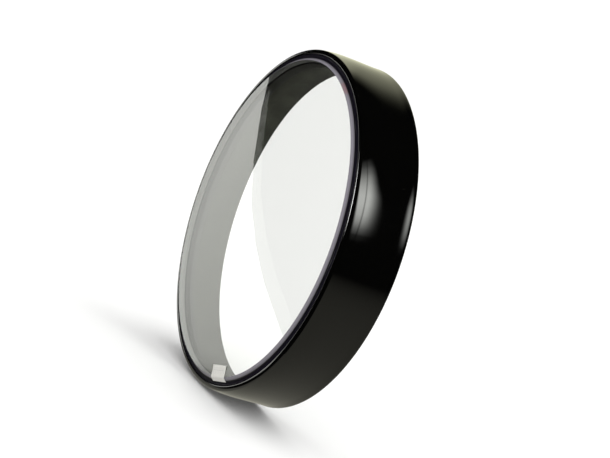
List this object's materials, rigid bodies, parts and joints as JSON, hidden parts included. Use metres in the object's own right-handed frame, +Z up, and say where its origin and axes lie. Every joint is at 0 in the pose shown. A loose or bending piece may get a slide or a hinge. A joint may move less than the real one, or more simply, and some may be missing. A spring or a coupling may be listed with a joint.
{
  "type": "survey prism",
  "caption": "Round thin wedge prism cemented in a glossy black slip-on cell with a felt-lined skirt, for the front of a surveying telescope.",
  "frame": {"origin": "on the optical axis, halfway along the whole depth", "axes": "+Y along the optical axis, from the glass towards the open skirt; +Z up, with the cell standing on its rim and the thick base of the wedge at the bottom"},
  "size_m": [0.1004, 0.0194, 0.1004],
  "materials": {
    "cell_paint": "glossy black enamel on a thin turned sleeve",
    "optical_glass": "clear polished faces, finely ground edge bevels",
    "black_cement": "dark optical cement, dull",
    "matt_black": "matt black, fine turning marks",
    "felt": "thin dark grey felt",
    "label_paper": "aged white paper with faint index strokes"
  },
  "bodies": {
    "root": {"cell_ring": "cell_paint", "wedge_prism": "optical_glass", "edge_cement": "black_cement", "seat_ring": "matt_black", "skirt_lining": "felt", "index_label": "label_paper"}
  },
  "joints": []
}
